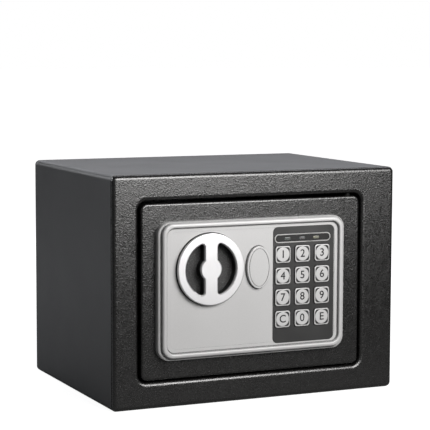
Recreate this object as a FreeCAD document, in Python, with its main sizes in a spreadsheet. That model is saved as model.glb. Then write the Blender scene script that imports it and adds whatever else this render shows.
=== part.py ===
import FreeCAD, Part
import math
import os

import Sketcher

# Small electronic safe, built as separate pieces in one frame.
# Frame (mm): +Z up, the door faces -Y, +X is to the right as seen from the front.
# The origin is under the middle of the whole object. "front" is the Y of the door's face.

Vector = FreeCAD.Vector
doc = FreeCAD.newDocument("safe")
sheet = doc.addObject("Spreadsheet::Sheet", "dims")

DIMENSIONS = {
    # outer body
    "body_wide": 230, "body_deep": 170, "body_tall": 170, "front": -80.25,
    "tube_wall": 1.5, "tube_bend": 3.8, "tube_behind": 3.25, "wall": 2,
    "frame_inset": 0.35, "frame_corner": 3.5, "frame_lip": 3, "frame_bend": 2.9,
    "frame_gap": 0.1, "frame_return": 12,
    # opening in the front, and its turned-in edge
    "open_left": -95, "open_right": 86.5, "open_low": 19.5, "open_high": 151,
    "open_corner": 6.5, "lip_deep": 12, "lip_roll": 3,
    # anchor holes
    "anchor_radius": 5, "base_anchor_spacing": 110, "back_anchor_spacing": 120,
    "base_anchor_behind": 95, "back_anchor_high": 100,
    "felt_thick": 2,
    # door plate and the box behind it
    "door_left": -93, "door_right": 84.5, "door_low": 21, "door_high": 149,
    "door_thick": 3, "door_corner": 5, "door_edge": 1.6,
    "chassis_left": -91, "chassis_right": 82, "chassis_low": 24, "chassis_high": 146,
    "chassis_back": 33, "chassis_wall": 2, "cover_thick": 1,
    # hinge
    "hinge_x": 77, "hinge_behind": 5.5, "hinge_pin_radius": 2, "hinge_fit": 0.06,
    # raised control panel
    "panel_left": -82, "panel_right": 69.3, "panel_low": 35, "panel_high": 135.7,
    "panel_corner": 9.5, "panel_step": 5, "panel_edge": 1.5,
    "rim_left": -79.5, "rim_right": 67, "rim_low": 37, "rim_high": 135, "rim_corner": 8.5,
    "rim_front": 8.3, "rim_wide": 3.3, "ledge_wide": 3.1, "ledge_front": 5.8,
    "groove_wide": 0.9,
    "field_front": 5.5, "field_wall": 1.2, "panel_wall": 2.4,
    # knob
    "knob_x": -42, "knob_z": 100.7, "knob_radius": 26.25, "knob_front": 9.5,
    "knob_gap": 0.45, "knob_well": 20, "knob_bar": 10.5, "knob_hub": 8.5,
    "knob_trim_back": 7.2, "knob_floor": 1.5, "knob_back": 0.4,
    "spindle_radius": 4, "cam_radius": 10, "cam_pin_radius": 2, "cam_throw": 7,
    # key cover
    "cap_x": -3.1, "cap_z": 100, "cap_wide": 19.3, "cap_tall": 31.2, "cap_front": 8.1,
    # keypad
    "plate_left": 9.3, "plate_right": 60, "plate_low": 42.3, "plate_high": 128.8,
    "plate_corner": 4, "plate_thick": 0.7, "plate_front": 5.6,
    "key_size": 12.3, "key_corner": 2, "key_front": 6.8, "key_gap": 0.3,
    "window_x": 33.9, "window_z": 120.1, "window_wide": 46.2, "window_tall": 6.4,
    "led_long": 5.2, "led_tall": 2.2,
    # lock cylinder behind the key cover
    "barrel_radius": 6, "plug_radius": 3.5, "turning_fit": 0.05,
    # bolt work
    "bolt_radius": 7, "bolt_behind": 20.5, "bolt_low": 50, "bolt_high": 120,
    "bolt_tip": -92.6, "bolt_foot": -74, "plate_behind": 7.4, "work_plate": 2,
    # solenoid
    "coil_x": 4.3, "coil_behind": 20, "plunger_radius": 2.5,
    # battery box
    "tray_left": 19.5, "tray_right": 79, "tray_low": 70, "tray_high": 133,
    "cell_radius": 7.15, "cell_long": 50.3, "cell_pitch": 15.1,
    # reset button
    "reset_x": 66, "reset_z": 48, "reset_radius": 3,
}

KEYS = {
    "key_1": (17.1, 108.3), "key_2": (33.3, 108.3), "key_3": (49.6, 108.3),
    "key_4": (17.1, 92.3), "key_5": (33.3, 92.3), "key_6": (49.6, 92.3),
    "key_7": (17.1, 76.3), "key_8": (33.3, 76.3), "key_9": (49.6, 76.3),
    "key_clear": (17.1, 60.1), "key_0": (33.3, 60.1), "key_enter": (49.6, 60.1),
}
LED_CENTRES = {"led_left": 21.2, "led_middle": 33.4, "led_right": 45.1}
BOSS_CENTRES = [(-72, 45), (-72, 127), (2, 45), (2, 127)]
POST_CENTRES = [(-66.5, 84), (-66.5, 60), (-20, 47)]

for number, (alias, value) in enumerate(DIMENSIONS.items(), start=1):
    sheet.set(f"A{number}", alias)
    sheet.set(f"B{number}", str(value))
    sheet.setAlias(f"B{number}", alias)
doc.recompute()


def value_of(text):
    """Evaluate a formula on the sheet, such as 'front + door_thick', to a number in mm."""
    total = sheet.evalExpression(with_sheet(text))
    return float(getattr(total, "Value", total))


def with_sheet(text):
    """Put 'dims.' in front of every sheet alias in a formula."""
    words = []
    word = ""
    for letter in str(text) + " ":
        if letter.isalnum() or letter == "_":
            word += letter
            continue
        words.append("dims." + word if word in DIMENSIONS else word)
        words.append(letter)
        word = ""
    return "".join(words).strip()


def new_body(label):
    body = doc.addObject("PartDesign::Body", label)
    body.Label = label
    return body


def origin_plane(body, role):
    return next(item for item in body.Origin.OriginFeatures if item.Role == role)


def new_sketch(body, role, offset="0"):
    """Add a sketch on one of the body's own planes, moved along its normal by a formula."""
    sketch = body.newObject("Sketcher::SketchObject", body.Label + "_sketch")
    sketch.AttachmentSupport = (origin_plane(body, role), [""])
    sketch.MapMode = "FlatFace"
    sketch.setExpression("AttachmentOffset.Base.z", with_sheet(offset))
    return sketch


def front_sketch(body, behind="0"):
    """Sketch seen from the front (X right, Z up), at a distance behind the door's face."""
    return new_sketch(body, "XZ_Plane", f"-(front + ({behind}))")


def level_sketch(body, height="0"):
    """Sketch seen from above (X, Y), at a height."""
    return new_sketch(body, "XY_Plane", height)


def side_sketch(body, across="0"):
    """Sketch on a plane facing +X (Y, Z), at a distance across."""
    return new_sketch(body, "YZ_Plane", across)


def drive(sketch, kind, *where, formula):
    """Add a dimension to a sketch and bind it to a formula on the sheet."""
    number = sketch.addConstraint(Sketcher.Constraint(kind, *where, value_of(formula)))
    sketch.setExpression(f"Constraints[{number}]", with_sheet(formula))


def draw_circle(sketch, across, up, radius):
    centre = Vector(value_of(across), value_of(up), 0)
    circle = sketch.addGeometry(Part.Circle(centre, Vector(0, 0, 1), value_of(radius)), False)
    drive(sketch, "Radius", circle, formula=radius)
    pin_point(sketch, circle, 3, across, up)


def pin_point(sketch, piece, end, across, up):
    """Hold one point of a sketch at a position given by two formulas."""
    for kind, formula in (("DistanceX", across), ("DistanceY", up)):
        if abs(value_of(formula)) < 1e-9:
            axis = -2 if kind == "DistanceX" else -1
            sketch.addConstraint(Sketcher.Constraint("PointOnObject", piece, end, axis))
        else:
            drive(sketch, kind, -1, 1, piece, end, formula=formula)


def draw_polygon(sketch, corners):
    """Draw a closed outline; each corner is a pair of formulas."""
    points = [Vector(value_of(across), value_of(up), 0) for across, up in corners]
    count = len(points)
    lines = [sketch.addGeometry(Part.LineSegment(points[i], points[(i + 1) % count]), False)
             for i in range(count)]
    for i in range(count):
        sketch.addConstraint(
            Sketcher.Constraint("Coincident", lines[i], 2, lines[(i + 1) % count], 1))
    for line, (across, up) in zip(lines, corners):
        pin_point(sketch, line, 1, across, up)


def draw_rectangle(sketch, left, right, low, high):
    draw_polygon(sketch, [(left, low), (right, low), (right, high), (left, high)])


def draw_round_rectangle(sketch, left, right, low, high, corner):
    """Draw a rectangle with four equal round corners."""
    x0, x1 = value_of(left), value_of(right)
    z0, z1 = value_of(low), value_of(high)
    r = value_of(corner)

    def line(x_from, z_from, x_to, z_to):
        start, end = Vector(x_from, z_from, 0), Vector(x_to, z_to, 0)
        return sketch.addGeometry(Part.LineSegment(start, end), False)

    def arc(x, z, quarter):
        circle = Part.Circle(Vector(x, z, 0), Vector(0, 0, 1), r)
        start = quarter * math.pi / 2
        return sketch.addGeometry(Part.ArcOfCircle(circle, start, start + math.pi / 2), False)

    loop = [
        line(x0 + r, z0, x1 - r, z0), arc(x1 - r, z0 + r, 3),
        line(x1, z0 + r, x1, z1 - r), arc(x1 - r, z1 - r, 0),
        line(x1 - r, z1, x0 + r, z1), arc(x0 + r, z1 - r, 1),
        line(x0, z1 - r, x0, z0 + r), arc(x0 + r, z0 + r, 2),
    ]
    for i in range(8):
        sketch.addConstraint(Sketcher.Constraint("Tangent", loop[i], 2, loop[(i + 1) % 8], 1))
    for i, direction in ((0, "Horizontal"), (2, "Vertical"), (4, "Horizontal"), (6, "Vertical")):
        sketch.addConstraint(Sketcher.Constraint(direction, loop[i]))
    for i in (3, 5, 7):
        sketch.addConstraint(Sketcher.Constraint("Equal", loop[1], loop[i]))
    drive(sketch, "Radius", loop[1], formula=corner)
    drive(sketch, "DistanceY", -1, 1, loop[0], 1, formula=low)
    drive(sketch, "DistanceX", -1, 1, loop[2], 1, formula=right)
    drive(sketch, "DistanceY", -1, 1, loop[4], 1, formula=high)
    drive(sketch, "DistanceX", -1, 1, loop[6], 1, formula=left)


def add_pad(body, sketch, length, backwards=True):
    """Add material. In a front sketch, backwards means away from the viewer."""
    return extrude(body, sketch, "PartDesign::Pad", length, backwards)


def add_pocket(body, sketch, length, towards_normal=False):
    """Remove material, against the sketch's normal unless told otherwise."""
    before = body.Tip.Shape.Volume
    pocket = extrude(body, sketch, "PartDesign::Pocket", length, towards_normal)
    if pocket.Shape.Volume > before - 1e-3:
        raise RuntimeError(f"{pocket.Name} removed nothing from {body.Label}")
    return pocket


def extrude(body, sketch, kind, length, reverse):
    feature = body.newObject(kind, body.Label + "_" + kind.split("::")[1].lower())
    feature.Profile = sketch
    feature.setExpression("Length", with_sheet(length))
    feature.Reversed = reverse
    sketch.Visibility = False
    doc.recompute([sketch, feature])
    return feature


def soften(body, radius, wanted, kind="PartDesign::Fillet"):
    """Round or bevel the edges of the body's tip that the 'wanted' test picks."""
    tip = body.Tip
    names = [f"Edge{i}" for i, edge in enumerate(tip.Shape.Edges, start=1) if wanted(edge)]
    if not names:
        raise RuntimeError(f"no edge to soften on {body.Label}")
    feature = body.newObject(kind, body.Label + "_soft")
    feature.Base = (tip, names)
    size = "Radius" if kind == "PartDesign::Fillet" else "Size"
    feature.setExpression(size, with_sheet(radius))
    doc.recompute([feature])
    if "Invalid" in feature.State or feature.Shape.isNull():
        raise RuntimeError(f"{feature.Name} failed")
    return feature


def edge_points(edge):
    """Both ends and the middle of an edge."""
    first, last = edge.ParameterRange
    return [edge.valueAt(first), edge.valueAt((first + last) / 2), edge.valueAt(last)]


def lies_at(axis, formula):
    """Test for edges that lie wholly at one coordinate, such as Y = front."""
    level = value_of(formula)
    return lambda edge: all(abs(getattr(p, axis) - level) < 1e-4 for p in edge_points(edge))


def runs_along(axis):
    """Test for straight edges parallel to one axis."""
    def test(edge):
        if edge.Curve.TypeId != "Part::GeomLine":
            return False
        return abs(abs(getattr(edge.Curve.Direction, axis)) - 1) < 1e-6
    return test


def both(*tests):
    return lambda edge: all(test(edge) for test in tests)


def inside_box(low, high):
    """Test for edges whose middle lies in a box of plain numbers."""
    def test(edge):
        middle = edge_points(edge)[1]
        return all(low[i] <= middle[i] <= high[i] for i in range(3))
    return test


def front_block(label, outline, behind, depth, backwards=True):
    """A body with one padded front sketch; outline draws into the sketch."""
    body = new_body(label)
    sketch = front_sketch(body, behind)
    outline(sketch)
    add_pad(body, sketch, depth, backwards)
    return body


def cut_front(body, outline, behind, depth):
    """Pocket a front sketch away from the viewer."""
    sketch = front_sketch(body, behind)
    outline(sketch)
    return add_pocket(body, sketch, depth)


def pad_front(body, outline, behind, depth):
    sketch = front_sketch(body, behind)
    outline(sketch)
    return add_pad(body, sketch, depth)


def primitive(kind, name, sizes, place, axis=None):
    """A Part primitive with sizes and position bound to formulas on the sheet."""
    item = doc.addObject("Part::" + kind, name)
    for key, formula in sizes.items():
        item.setExpression(key, with_sheet(formula))
    if axis == "Y":
        item.Placement = FreeCAD.Placement(Vector(), FreeCAD.Rotation(Vector(1, 0, 0), -90))
    if axis == "X":
        item.Placement = FreeCAD.Placement(Vector(), FreeCAD.Rotation(Vector(0, 1, 0), 90))
    for key, formula in zip("xyz", place):
        item.setExpression("Placement.Base." + key, with_sheet(formula))
    return item


def joined(label, pieces):
    """Several primitives as one sub-part."""
    fuse = doc.addObject("Part::MultiFuse", label)
    fuse.Label = label
    fuse.Shapes = pieces
    return fuse


def cut_from(label, base, tools):
    """A primitive with holes cut by other primitives."""
    tool = tools[0]
    if len(tools) > 1:
        tool = joined(label + "_tools", tools)
    cut = doc.addObject("Part::Cut", label)
    cut.Label = label
    cut.Base = base
    cut.Tool = tool
    return cut


# ---------------------------------------------------------------- steel body

def build_body_tube():
    """Sides, top and bottom, bent from one sheet, with two anchor holes in the bottom."""
    body = front_block("body_tube", lambda s: draw_round_rectangle(
        s, "-body_wide / 2", "body_wide / 2", "0", "body_tall", "tube_bend"),
        "tube_behind", "body_deep - tube_behind")
    cut_front(body, lambda s: draw_round_rectangle(
        s, "-body_wide / 2 + tube_wall", "body_wide / 2 - tube_wall", "tube_wall",
        "body_tall - tube_wall", "tube_bend - tube_wall + 0.1"), "-1", "body_deep + 2")
    cut_base_anchors(body, "-1", "tube_wall + 2")
    return body


def build_front_frame():
    """Pan over the front of the tube: rounded edges, a rolled opening, inner returns."""
    body = front_block("front_frame", lambda s: draw_round_rectangle(
        s, "-body_wide / 2 + frame_inset", "body_wide / 2 - frame_inset", "frame_inset",
        "body_tall - frame_inset", "frame_corner"), "0", "frame_lip")
    soften(body, "frame_bend", lies_at("y", "front"))
    inset = "(tube_wall + frame_gap)"
    pad_front(body, lambda s: draw_round_rectangle(
        s, f"-body_wide / 2 + {inset}", f"body_wide / 2 - {inset}", inset,
        f"body_tall - {inset}", "tube_bend - tube_wall"),
        "frame_lip - 1", "frame_return - frame_lip + 1")
    cut_front(body, lambda s: draw_round_rectangle(
        s, f"-body_wide / 2 + {inset} + wall", f"body_wide / 2 - {inset} - wall",
        f"{inset} + wall", f"body_tall - {inset} - wall", "1.5"), "wall", "frame_return")
    pad_front(body, lambda s: draw_round_rectangle(
        s, "open_left - wall", "open_right + wall", "open_low - wall", "open_high + wall",
        "open_corner + wall"), "wall / 2", "lip_deep - wall / 2")
    cut_front(body, lambda s: draw_round_rectangle(
        s, "open_left", "open_right", "open_low", "open_high", "open_corner"),
        "-1", "lip_deep + 2")
    front = value_of("front")
    opening = ((value_of("open_left") - 1, front - 1, value_of("open_low") - 1),
               (value_of("open_right") + 1, front + 0.01, value_of("open_high") + 1))
    soften(body, "lip_roll", both(lies_at("y", "front"), inside_box(*opening)))
    for height in ("open_low - wall - 1", "open_high - 1"):
        sketch = level_sketch(body, height)
        draw_circle(sketch, "hinge_x", "front + hinge_behind", "hinge_pin_radius + 0.09")
        add_pocket(body, sketch, "wall + 2", towards_normal=True)
    return body


def cut_base_anchors(body, height, depth):
    """Two anchor holes side by side, down through the base."""
    sketch = level_sketch(body, height)
    for side in ("-1", "1"):
        draw_circle(sketch, f"{side} * base_anchor_spacing / 2",
                    "front + base_anchor_behind", "anchor_radius")
    add_pocket(body, sketch, depth, towards_normal=True)


def build_back_panel():
    """Rear plate with two anchor holes, welded inside the tube."""
    inset = "(tube_wall + 0.05)"
    body = front_block("back_panel", lambda s: draw_round_rectangle(
        s, f"-body_wide / 2 + {inset}", f"body_wide / 2 - {inset}",
        inset, f"body_tall - {inset}", "tube_bend"), "body_deep - wall", "wall")
    sketch = front_sketch(body, "body_deep - wall - 1")
    for side in ("-1", "1"):
        draw_circle(sketch, f"{side} * back_anchor_spacing / 2", "back_anchor_high",
                    "anchor_radius")
    add_pocket(body, sketch, "wall + 2")
    return body


def build_hinge_bracket(label, low):
    """Bearing plate welded outside the opening's turned-in edge."""
    body = new_body(label)
    sketch = level_sketch(body, low)
    draw_rectangle(sketch, "hinge_x - 9", "open_right + wall", "front + wall",
                   "front + lip_deep")
    add_pad(body, sketch, "3", backwards=False)
    soften(body, "3", both(runs_along("z"), lies_at("y", "front + lip_deep")))
    sketch = level_sketch(body, f"{low} - 1")
    draw_circle(sketch, "hinge_x", "front + hinge_behind", "hinge_pin_radius + hinge_fit")
    add_pocket(body, sketch, "5", towards_normal=True)
    return body


def build_floor_mat():
    body = new_body("floor_mat")
    sketch = level_sketch(body, "tube_wall")
    draw_rectangle(sketch, "-body_wide / 2 + tube_bend", "body_wide / 2 - tube_bend",
                   "front + frame_return + 2", "front + body_deep - wall - 1")
    add_pad(body, sketch, "felt_thick", backwards=False)
    cut_base_anchors(body, "tube_wall - 1", "felt_thick + 2")
    return body


# ---------------------------------------------------------------------- door

def build_door_panel():
    """Thick door plate with soft edges and the holes for everything it carries."""
    body = front_block("door_panel", lambda s: draw_round_rectangle(
        s, "door_left", "door_right", "door_low", "door_high", "door_corner"),
        "0", "door_thick")
    soften(body, "door_edge", lies_at("y", "front"))

    def holes(sketch):
        draw_circle(sketch, "knob_x", "knob_z", "spindle_radius + turning_fit")
        draw_circle(sketch, "cap_x", "cap_z", "barrel_radius + 0.1")
        draw_round_rectangle(sketch, "tray_left + 2", "tray_left + 14", "38", "41.5", "1.2")
        for across, up in BOSS_CENTRES:
            draw_circle(sketch, str(across), str(up), "1.6")
    cut_front(body, holes, "-1", "door_thick + 2")
    return body


def build_door_chassis():
    """Box welded behind the door plate: it guides the bolts and holds the hinge pins."""
    body = front_block("door_chassis", lambda s: draw_round_rectangle(
        s, "chassis_left", "chassis_right", "chassis_low", "chassis_high", "3"),
        "door_thick", "chassis_back - door_thick")
    cut_front(body, lambda s: draw_round_rectangle(
        s, "chassis_left + chassis_wall", "chassis_right - chassis_wall",
        "chassis_low + chassis_wall", "chassis_high - chassis_wall", "1.5"),
        "door_thick - 1", "chassis_back")
    sketch = side_sketch(body, "chassis_left - 1")
    for height in ("bolt_low", "bolt_high"):
        draw_circle(sketch, "front + bolt_behind", height, "bolt_radius + 0.08")
    add_pocket(body, sketch, "chassis_wall + 2", towards_normal=True)
    for height in ("chassis_low - 1", "chassis_high - chassis_wall - 1"):
        sketch = level_sketch(body, height)
        draw_circle(sketch, "hinge_x", "front + hinge_behind", "hinge_pin_radius")
        add_pocket(body, sketch, "chassis_wall + 2", towards_normal=True)
    return body


def build_hinge_pins():
    """The two pins, each with a spacer sleeve that carries the door in the gap."""
    pieces = []
    for name, pin_low, sleeve_low, sleeve_tall in (
            ("upper", "chassis_high - chassis_wall", "chassis_high", "3.6"),
            ("lower", "open_low - wall - 3", "open_low + 0.3", "chassis_low - open_low - 0.3")):
        shank = primitive("Cylinder", f"hinge_{name}_shank",
                          {"Radius": "hinge_pin_radius", "Height": "12"},
                          ("hinge_x", "front + hinge_behind", pin_low))
        sleeve = primitive("Cylinder", f"hinge_{name}_sleeve",
                           {"Radius": "hinge_pin_radius * 0.5 + 1.4", "Height": sleeve_tall},
                           ("hinge_x", "front + hinge_behind", sleeve_low))
        pieces.append(joined(f"hinge_{name}", [shank, sleeve]))
    return joined("hinge_pins", pieces)


def build_bolt_guide():
    """Inner bracket behind the door plate with a second pair of holes for the bolts."""
    body = new_body("bolt_guide")
    sketch = side_sketch(body, "-87.6")
    draw_rectangle(sketch, "front + 11", "front + chassis_back - 1.5",
                   "bolt_low - 11", "bolt_high + 11")
    add_pad(body, sketch, "work_plate", backwards=False)
    sketch = side_sketch(body, "-89")
    for low, high in (("bolt_low - 11", "bolt_low - 9"), ("bolt_high + 9", "bolt_high + 11")):
        draw_rectangle(sketch, "front + door_thick", "front + chassis_back - 1.5", low, high)
    add_pad(body, sketch, "7.5", backwards=False)
    sketch = side_sketch(body, "-88.6")
    for height in ("bolt_low", "bolt_high"):
        draw_circle(sketch, "front + bolt_behind", height, "bolt_radius + 0.08")
    add_pocket(body, sketch, "work_plate + 2", towards_normal=True)
    return body


def build_inner_cover():
    """Sheet that closes the back of the door, open for the battery box and the button."""
    body = front_block("door_inner_cover", lambda s: draw_round_rectangle(
        s, "chassis_left", "chassis_right", "chassis_low", "chassis_high", "3"),
        "chassis_back", "cover_thick")

    def holes(sketch):
        draw_round_rectangle(sketch, "tray_left - 0.2", "tray_right + 0.2",
                             "tray_low - 0.2", "tray_high + 0.2", "2")
        draw_circle(sketch, "reset_x", "reset_z", "reset_radius + 0.3")
        for across, up in cover_screw_centres():
            draw_circle(sketch, str(across), str(up), "1.6")
    cut_front(body, holes, "chassis_back - 1", "cover_thick + 2")
    return body


def cover_screw_centres():
    left = value_of("chassis_left") + 6.5
    right = value_of("chassis_right") - 6.5
    low = value_of("chassis_low") + 6.5
    high = value_of("chassis_high") - 6.5
    return [(left, low), (left, high), (13, low), (right, low), (13, high)]


def build_cover_posts():
    """Threaded posts inside the door that the inner cover is screwed to."""
    posts = []
    for i, (across, up) in enumerate(cover_screw_centres()):
        post = primitive("Cylinder", f"cover_post_{i}",
                         {"Radius": "3.2", "Height": "chassis_back - door_thick"},
                         (str(across), "front + door_thick", str(up)), axis="Y")
        bore = primitive("Cylinder", f"cover_post_bore_{i}",
                         {"Radius": "1.3", "Height": "9"},
                         (str(across), "front + chassis_back - 8", str(up)), axis="Y")
        posts.append(cut_from(f"cover_post_drilled_{i}", post, [bore]))
    return joined("cover_posts", posts)


def build_screws(label, centres, head_at, head_points_back, shank, head="2.8"):
    """A group of identical pan-head screws along Y."""
    screws = []
    for i, (across, up) in enumerate(centres):
        head_from = head_at if head_points_back else f"{head_at} - 1.8"
        shank_from = f"{head_at} - ({shank})" if head_points_back else head_at
        head_item = primitive("Cylinder", f"{label}_head_{i}",
                              {"Radius": head, "Height": "1.8"},
                              (str(across), f"front + {head_from}", str(up)), axis="Y")
        shank_item = primitive("Cylinder", f"{label}_shank_{i}",
                               {"Radius": "1.25", "Height": shank},
                               (str(across), f"front + {shank_from}", str(up)), axis="Y")
        slot_at = f"{head_at} + 1.1" if head_points_back else f"{head_at} - 1.9"
        slots = []
        for turned, (wide, tall) in enumerate((("3.2", "0.7"), ("0.7", "3.2"))):
            slots.append(primitive(
                "Box", f"{label}_slot_{i}_{turned}",
                {"Length": wide, "Width": "0.8", "Height": tall},
                (f"{across} - {wide} / 2", f"front + {slot_at}", f"{up} - {tall} / 2")))
        blank = joined(f"{label}_blank_{i}", [head_item, shank_item])
        screws.append(cut_from(f"{label}_{i}", blank, slots))
    return joined(label, screws)


# ------------------------------------------------------------- control panel

def draw_oval(sketch, across, up, wide, tall):
    """An upright ellipse with its width and height driven by formulas."""
    x, z = value_of(across), value_of(up)
    half_wide, half_tall = value_of(f"({wide}) / 2"), value_of(f"({tall}) / 2")
    oval = sketch.addGeometry(Part.Ellipse(
        Vector(x, z + half_tall, 0), Vector(x + half_wide, z, 0), Vector(x, z, 0)), False)
    sketch.exposeInternalGeometry(oval)
    long_axis, short_axis = oval + 1, oval + 2
    sketch.addConstraint(Sketcher.Constraint("Vertical", long_axis))
    drive(sketch, "Distance", long_axis, formula=tall)
    drive(sketch, "Distance", short_axis, formula=wide)
    pin_point(sketch, oval, 3, across, up)


def build_panel_bezel():
    """Raised silver panel: stepped sides, rounded rim, sunken field, hollow back."""
    body = front_block("control_panel_bezel", lambda s: draw_round_rectangle(
        s, "panel_left", "panel_right", "panel_low", "panel_high", "panel_corner"),
        "-panel_step", "panel_step")
    soften(body, "panel_edge", lies_at("y", "front - panel_step"))
    pad_front(body, lambda s: draw_round_rectangle(
        s, "rim_left", "rim_right", "rim_low", "rim_high", "rim_corner"),
        "-rim_front", "rim_front - 1")
    inner = inset_rim("rim_wide", "rim_corner - rim_wide + 1.2")
    cut_front(body, lambda s: draw_round_rectangle(s, *inner), "-rim_front",
              "rim_front - ledge_front")
    field = inset_rim("(rim_wide + ledge_wide)", "rim_corner - rim_wide")
    cut_front(body, lambda s: draw_round_rectangle(s, *field), "-rim_front",
              "rim_front - field_front")

    def outer_groove(sketch):
        draw_round_rectangle(sketch, *inset_rim("-groove_wide", "rim_corner + groove_wide"))
        draw_round_rectangle(sketch, *inset_rim("0", "rim_corner"))

    def inner_groove(sketch):
        draw_round_rectangle(sketch, *inner)
        draw_round_rectangle(sketch, *inset_rim(
            "(rim_wide + groove_wide)", "rim_corner - rim_wide + 1.2 - groove_wide"))
    cut_front(body, outer_groove, "-panel_step", "0.5")
    cut_front(body, inner_groove, "-ledge_front", "0.5")
    at_rim_front = lies_at("y", "front - rim_front")
    inside = inside_box(
        (value_of("rim_left + 1"), -1000, value_of("rim_low + 1")),
        (value_of("rim_right - 1"), 1000, value_of("rim_high - 1")))
    soften(body, "1.8", both(at_rim_front, lambda edge: not inside(edge)))
    soften(body, "0.9", both(at_rim_front, inside))
    cut_front(body, lambda s: draw_round_rectangle(
        s, "panel_left + panel_wall", "panel_right - panel_wall", "panel_low + panel_wall",
        "panel_high - panel_wall", "panel_corner - panel_wall"),
        "-(field_front - field_wall)", "field_front - field_wall + 1")

    def bosses(sketch):
        draw_circle(sketch, "knob_x", "knob_z", "knob_radius + knob_gap + 1.6")
        for across, up in BOSS_CENTRES:
            draw_circle(sketch, str(across), str(up), "3.5")
    pad_front(body, bosses, "-(field_front - field_wall / 2)", "field_front - field_wall / 2")
    cut_front(body, lambda s: draw_circle(
        s, "knob_x", "knob_z", "knob_radius + knob_gap"), "-rim_front", "rim_front + 1")
    cut_front(body, lambda s: draw_round_rectangle(
        s, "plate_left - 0.1", "plate_right + 0.1", "plate_low - 0.1", "plate_high + 0.1",
        "plate_corner"), "-rim_front", "rim_front - plate_front + plate_thick")

    def openings(sketch):
        draw_oval(sketch, "cap_x", "cap_z", "(cap_wide - 2)", "(cap_tall - 2)")
        for across, up in KEYS.values():
            draw_key_square(sketch, across, up, "key_size + 2 * key_gap")
        for across in LED_CENTRES.values():
            draw_lamp(sketch, across, "0.3")
    cut_front(body, lambda s: draw_oval(
        s, "cap_x", "cap_z", "(cap_wide + 1.2)", "(cap_tall + 1.2)"), "-rim_front",
        "rim_front - field_front + 0.6")
    cut_front(body, openings, "-rim_front", "rim_front - 1")

    def screw_holes(sketch):
        for across, up in BOSS_CENTRES:
            draw_circle(sketch, str(across), str(up), "1.25")
    sketch = front_sketch(body, "1")
    screw_holes(sketch)
    add_pocket(body, sketch, "5", towards_normal=True)
    return body


def inset_rim(inset, corner):
    """Sides and corner of an outline set in from the rim's outer edge."""
    return (f"rim_left + {inset}", f"rim_right - {inset}",
            f"rim_low + {inset}", f"rim_high - {inset}", corner)


def draw_key_square(sketch, across, up, size):
    draw_round_rectangle(sketch, f"{across} - ({size}) / 2", f"{across} + ({size}) / 2",
                         f"{up} - ({size}) / 2", f"{up} + ({size}) / 2", "key_corner")


def build_keypad_plate():
    body = front_block("keypad_plate", lambda s: draw_round_rectangle(
        s, "plate_left", "plate_right", "plate_low", "plate_high", "plate_corner"),
        "-plate_front", "plate_thick")

    def openings(sketch):
        for across, up in KEYS.values():
            draw_key_square(sketch, across, up, "key_size + 2 * key_gap")
    cut_front(body, openings, "-plate_front - 1", "plate_thick + 2")
    cut_front(body, lambda s: draw_window(s, "0.1"), "-plate_front - 1", "1.35")
    pad_front(body, lambda s: draw_window(s, "-0.75"), "-plate_front", "0.5")
    cut_front(body, lambda s: [draw_lamp(s, x, "0.05") for x in LED_CENTRES.values()],
              "-plate_front - 1", "3")
    return body


def draw_lamp(sketch, across, grow):
    """Long round-ended outline of an indicator lamp, larger by 'grow' a side."""
    draw_round_rectangle(
        sketch, f"{across} - led_long / 2 - {grow}", f"{across} + led_long / 2 + {grow}",
        f"window_z - 0.2 - led_tall / 2 - {grow}", f"window_z - 0.2 + led_tall / 2 + {grow}",
        f"led_tall / 2 - 0.05 + {grow}")


def draw_window(sketch, grow):
    """Long indicator window with round corners, larger or smaller by 'grow' a side."""
    draw_round_rectangle(
        sketch, f"window_x - window_wide / 2 - ({grow})", f"window_x + window_wide / 2 + ({grow})",
        f"window_z - window_tall / 2 - ({grow})", f"window_z + window_tall / 2 + ({grow})",
        f"3 + ({grow})")


def build_indicator_outline():
    """Thin silver line round the indicator lights."""
    body = front_block("indicator_outline", lambda s: draw_window(s, "0"),
                       "-plate_front - 0.05", "0.4")
    cut_front(body, lambda s: draw_window(s, "-0.65"), "-plate_front - 1", "2")
    return body


def build_led(label, across):
    """Long indicator lamp on the circuit board, its crowned face level with the plate."""
    body = front_block(label, lambda s: draw_lamp(s, across, "0"), "-plate_front - 0.1",
                       "plate_front + 0.1 - 1.9")
    soften(body, "0.4", lies_at("y", "front - plate_front - 0.1"))
    return body


def build_circuit_board():
    """Board behind the keypad with its chip and a connector into the door."""
    board = primitive("Box", "board_sheet", {"Length": "50", "Width": "1.5", "Height": "84"},
                      ("10", "front - 1.9", "43.5"))
    chip = primitive("Box", "board_chip", {"Length": "9", "Width": "1.6", "Height": "7.5"},
                     ("plate_left + 42", "front - 3.4", "44.5"))
    plug = primitive("Box", "board_plug", {"Length": "10", "Width": "6", "Height": "2.6"},
                     ("tray_left + 3", "front - 1", "38.5"))
    tab = primitive("Box", "board_tab", {"Length": "12", "Width": "1.5", "Height": "7"},
                    ("tray_left + 2", "front - 1.9", "38"))
    return joined("circuit_board", [board, chip, plug, tab])


def build_switch_domes():
    """Twelve snap domes on the board, one under each key."""
    domes = [primitive("Cone", f"dome_{name}",
                       {"Radius1": "3", "Radius2": "4", "Height": "0.35"},
                       (str(across), "front - 2.25", str(up)), axis="Y")
             for name, (across, up) in KEYS.items()]
    return joined("switch_domes", domes)


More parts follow.
